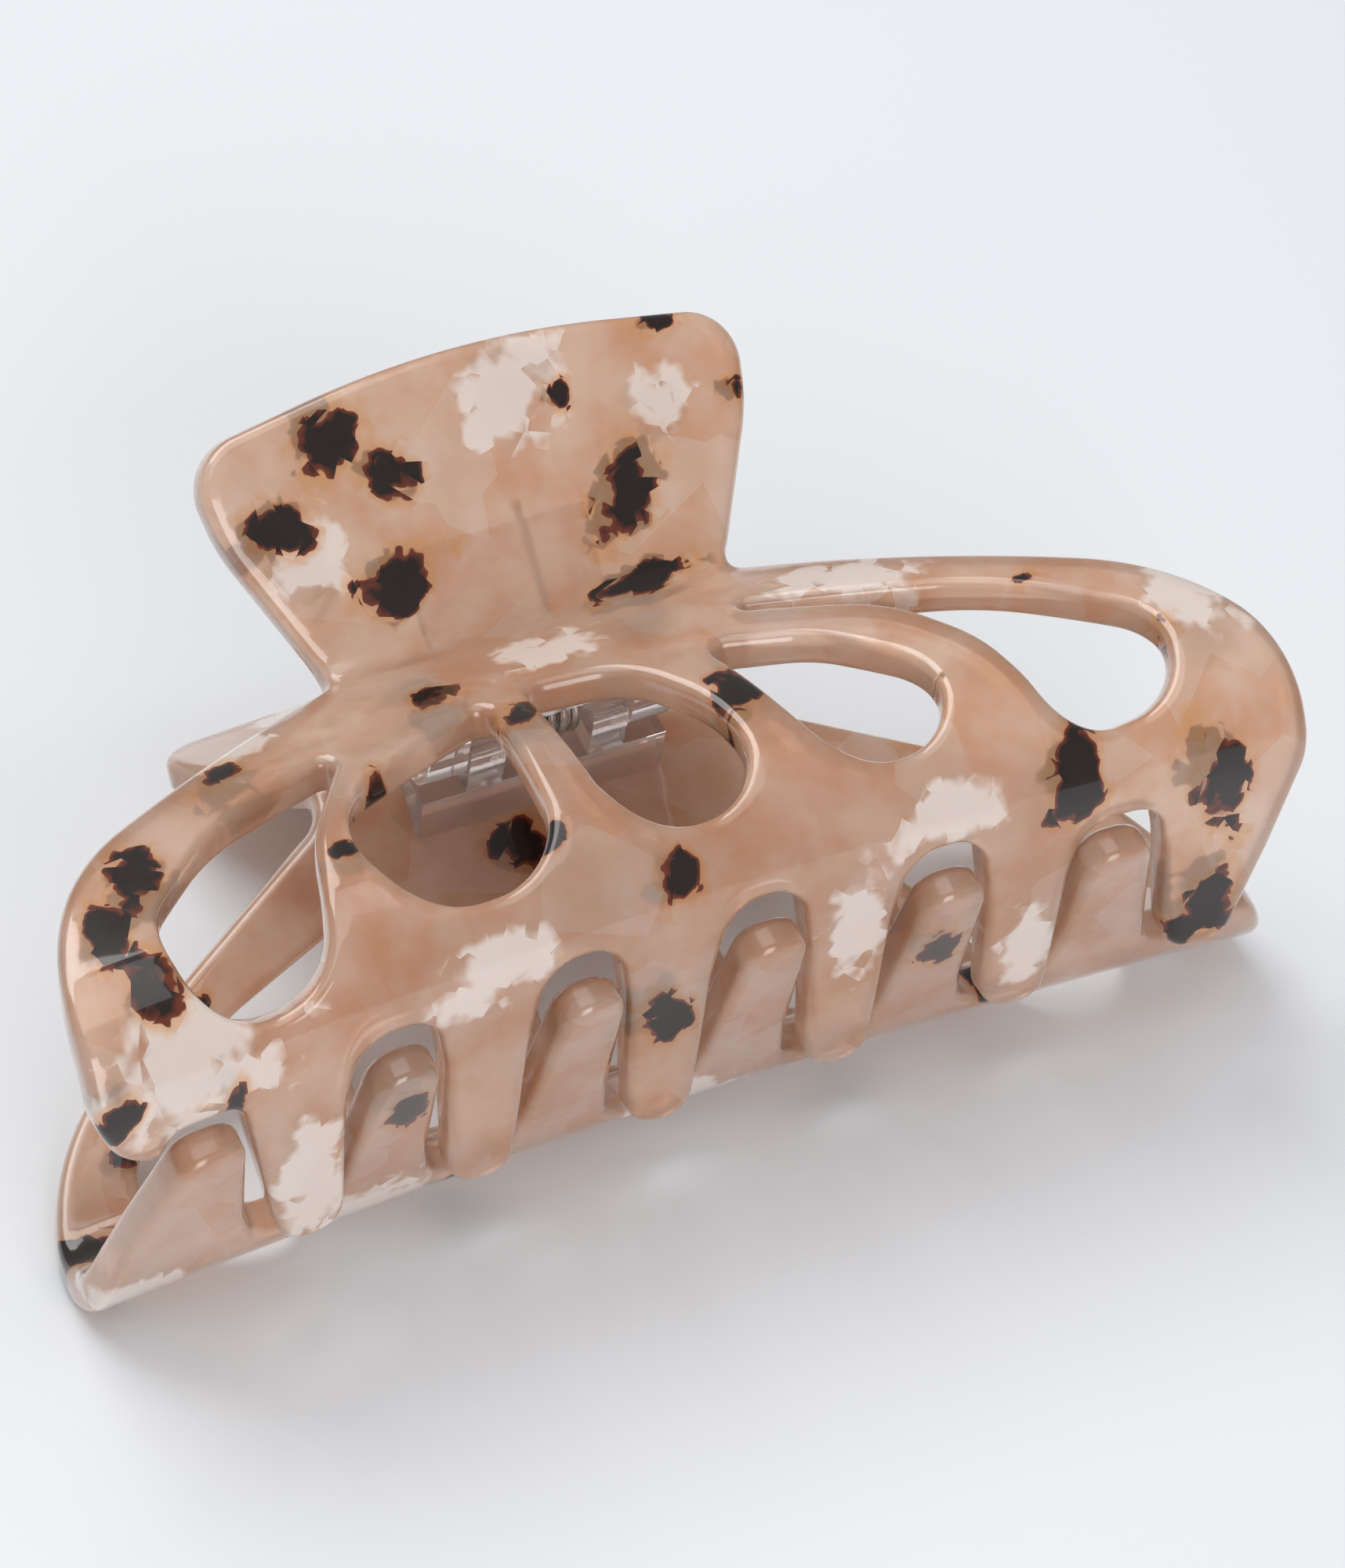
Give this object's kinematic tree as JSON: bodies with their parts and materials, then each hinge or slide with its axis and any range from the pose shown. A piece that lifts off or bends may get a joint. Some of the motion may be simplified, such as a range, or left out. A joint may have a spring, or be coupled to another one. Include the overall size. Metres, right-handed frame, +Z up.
{
  "type": "claw clip",
  "caption": "Large curved hair claw clip: two arched, pierced acetate jaws with interleaving teeth, sprung on a hinge pin under the finger tabs.",
  "frame": {"origin": "middle of the bottom of the box round the closed clip lying on its rear jaw", "axes": "+X along the hinge, the length of the clip; +Y from the teeth to the finger tabs; +Z up from the surface it lies on, from the rear jaw to the front jaw"},
  "size_m": [0.106, 0.062, 0.0478],
  "materials": {
    "acetate": "polished",
    "clear_acetate": "polished",
    "steel": "satin"
  },
  "bodies": {
    "rear": {"rear_jaw": "acetate", "rear_hinge_block": "clear_acetate", "hinge_pin": "steel", "torsion_spring": "steel"},
    "front": {"front_jaw": "acetate", "front_hinge_block": "clear_acetate"}
  },
  "joints": [
    {"name": "jaw_hinge", "type": "hinge", "parent": "rear", "child": "front", "pos_m": [0, 0.00569, 0.02202], "axis": [-1, 0, 0], "range_deg": [0, 70], "stiffness_Nm_per_rad": 0.15, "springref_deg": -68.75, "deforming": ["torsion_spring"]}
  ]
}
